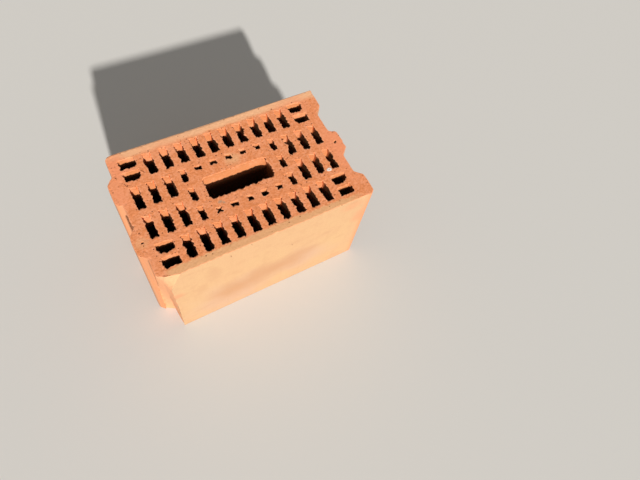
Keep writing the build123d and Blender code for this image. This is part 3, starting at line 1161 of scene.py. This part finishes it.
def break_material(groups, colours):
    """Broken clay: pale and granular with pinker mottles, made paler low down and beside the front face by
    painted light.
    """
    material, wiring, place = new_material("broken_clay")
    clay = mottled(wiring, groups, place, colours.fracture, colours.bed_pale, colours.fracture_pink,
                   1.4, 0.4)
    coarse = wiring.rise(wiring.noise(place, 0.012, 4.0, 0.65), 0.48, 0.62)
    tone = wiring.tint(clay["Colour"], colours.fracture_pink, coarse, 0.55)
    pits = pit_mask(wiring, groups.pits, place, 0.007, 0.35, 0.12)
    parts = wiring.split(place)
    # Painted light: facets low down and beside the front face turn away from the low front light and are
    # painted paler
    low_down = wiring.times(wiring.rise(parts["Z"], *BREAK_FOOT), 0.5)
    beside_face = wiring.times(wiring.rise(parts["Y"], *BREAK_BESIDE_FACE), 0.6)
    tone = wiring.mix(wiring.higher(low_down, beside_face), tone, opaque(colours.fracture_painted_light))
    tone = wiring.tint(tone, colours.bed_deep, pits, 0.3)
    height = wiring.plus(clay["Height"], wiring.noise(place, 0.004, 3.0))
    height = wiring.minus(height, pits)
    finish_material(wiring, tone, scaled(wiring, clay["Height"], 0.08, 0.86), height, relief=0.0004)
    return material


class CLAY_OT_fired_block(bpy.types.Operator):
    """Make the fired block with its torn rims, worn arrises, broken corner and four clay finishes"""
    bl_idname = "clay.fired_block"
    bl_label = "Fired Block"

    def execute(self, context):
        sizes, colours = context.scene.clay_sizes, context.scene.clay_colours
        block = welded_copy(BLOCK_NODE)
        holes = name_surfaces(block)
        thin_corners(block)
        divide_clay(block, sizes)
        clear_slanting_edges(block)
        weld_slivers(block, sizes.bed_grid * SLIVER_SHARE)
        bmesh.ops.triangulate(block, faces=block.faces, quad_method="BEAUTY", ngon_method="BEAUTY")
        open_edges = sum(not edge.is_manifold for edge in block.edges)
        if open_edges:
            raise RuntimeError(f"the block has {open_edges} open edges")
        surface = ClaySurface(block, sizes, holes)
        # Point values that the colours read: rubbed rims, the painted shade in the holes, and the burrs
        # that carry a painted highlight
        values = {"rim_nearness": surface.nearness(sizes.wear_reach), "painted_shade": surface.painted_shade(block),
                  "burr": surface.burrs(block)}
        shape_clay(block, surface, sizes)
        sharpen_borders(block)
        piece = block_object(block, "fired_block", values)
        block.free()
        groups = ClayGroups()
        for make in (bed_material, skin_material, wall_material, break_material):
            piece.data.materials.append(make(groups, colours))
        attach(piece, "root")
        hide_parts(BLOCK_NODE)
        return {"FINISHED"}


# Studio

FLOOR_HALF = 6.0
SENSOR_WIDTH = 36.0
SEEN_FROM, SEEN_TO = 0.01, 50.0
KEY_COLOUR = (1.0, 0.985, 0.955)
FILL_COLOUR = (1.0, 0.99, 0.97, 1.0)


def studio_floor(stage):
    mesh = bpy.data.meshes.new("studio_floor")
    sheet = bmesh.new()
    bmesh.ops.create_grid(sheet, x_segments=1, y_segments=1, size=FLOOR_HALF)
    sheet.to_mesh(mesh)
    sheet.free()
    floor = bpy.data.objects.new("studio_floor", mesh)
    bpy.context.scene.collection.objects.link(floor)
    material = bpy.data.materials.new("floor_paint")
    material.use_nodes = True
    shader = material.node_tree.nodes["Principled BSDF"]
    shader.inputs["Base Color"].default_value = opaque(stage.floor)
    shader.inputs["Roughness"].default_value = 0.9
    mesh.materials.append(material)


def studio_world(stage):
    """Even fill light; the camera and rays through transparent surfaces see the pale backdrop instead."""
    world = bpy.data.worlds.new("studio_light")
    world.use_nodes = True
    world.node_tree.nodes.clear()
    wiring = Wiring(world.node_tree)
    fill = wiring.node("ShaderNodeBackground", {"Color": FILL_COLOUR, "Strength": stage.fill_strength})
    seen = wiring.node("ShaderNodeBackground", {"Color": opaque(stage.backdrop), "Strength": 1.0})
    ray = wiring.node("ShaderNodeLightPath").outputs
    direct = wiring.higher(ray["Is Camera Ray"], ray["Is Transmission Ray"])
    both = wiring.node("ShaderNodeMixShader", {0: direct, 1: fill.outputs[0], 2: seen.outputs[0]})
    wiring.node("ShaderNodeOutputWorld", {"Surface": both.outputs[0]})
    bpy.context.scene.world = world


def key_light(stage):
    lamp = bpy.data.lights.new("key_light", "SUN")
    lamp.energy = stage.key_strength
    lamp.angle = stage.key_softness
    lamp.color = KEY_COLOUR
    key = bpy.data.objects.new("key_light", lamp)
    towards = Vector((-math.sin(stage.key_side) * math.cos(stage.key_height),
                      -math.cos(stage.key_side) * math.cos(stage.key_height), math.sin(stage.key_height)))
    key.rotation_mode = "QUATERNION"
    key.rotation_quaternion = towards.to_track_quat("Z", "Y")
    bpy.context.scene.collection.objects.link(key)


def photo_camera(stage):
    lens = bpy.data.cameras.new("photo_camera")
    lens.sensor_width = SENSOR_WIDTH
    lens.lens = stage.camera_lens
    lens.shift_x, lens.shift_y = stage.camera_shift
    lens.clip_start, lens.clip_end = SEEN_FROM, SEEN_TO
    camera = bpy.data.objects.new("photo_camera", lens)
    camera.location = stage.camera_place
    camera.rotation_euler = stage.camera_turn
    bpy.context.scene.collection.objects.link(camera)
    bpy.context.scene.camera = camera


class CLAY_OT_studio(bpy.types.Operator):
    """Make the pale floor, the low front light, the fill light and the camera"""
    bl_idname = "clay.studio"
    bl_label = "Studio"

    def execute(self, context):
        stage = context.scene.clay_stage
        studio_floor(stage)
        studio_world(stage)
        key_light(stage)
        photo_camera(stage)
        context.scene.view_settings.view_transform = "Standard"
        return {"FINISHED"}


class CLAY_PT_block(bpy.types.Panel):
    """Sizes and colours of the block, with the operators that make it"""
    bl_idname = "CLAY_PT_block"
    bl_label = "Perforated Clay Block"
    bl_space_type = "VIEW_3D"
    bl_region_type = "UI"
    bl_category = "Clay Block"

    def draw(self, context):
        for title, group, operator in (("Shape", "clay_sizes", CLAY_OT_fired_block),
                                       ("Colours", "clay_colours", None),
                                       ("Studio", "clay_stage", CLAY_OT_studio)):
            box = self.layout.box()
            box.label(text=title)
            values = getattr(context.scene, group)
            for name in values.__annotations__:
                box.prop(values, name)
            if operator:
                box.operator(operator.bl_idname)


CLASSES = (ClaySizes, ClayColours, ClayStage, CLAY_OT_fired_block, CLAY_OT_studio, CLAY_PT_block)


def register():
    for item in CLASSES:
        bpy.utils.register_class(item)
    bpy.types.Scene.clay_sizes = PointerProperty(type=ClaySizes)
    bpy.types.Scene.clay_colours = PointerProperty(type=ClayColours)
    bpy.types.Scene.clay_stage = PointerProperty(type=ClayStage)


def unregister():
    del bpy.types.Scene.clay_stage
    del bpy.types.Scene.clay_colours
    del bpy.types.Scene.clay_sizes
    for item in reversed(CLASSES):
        bpy.utils.unregister_class(item)


def main():
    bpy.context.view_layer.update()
    register()
    bpy.ops.clay.fired_block()
    bpy.ops.clay.studio()


if __name__ == "__main__":
    main()
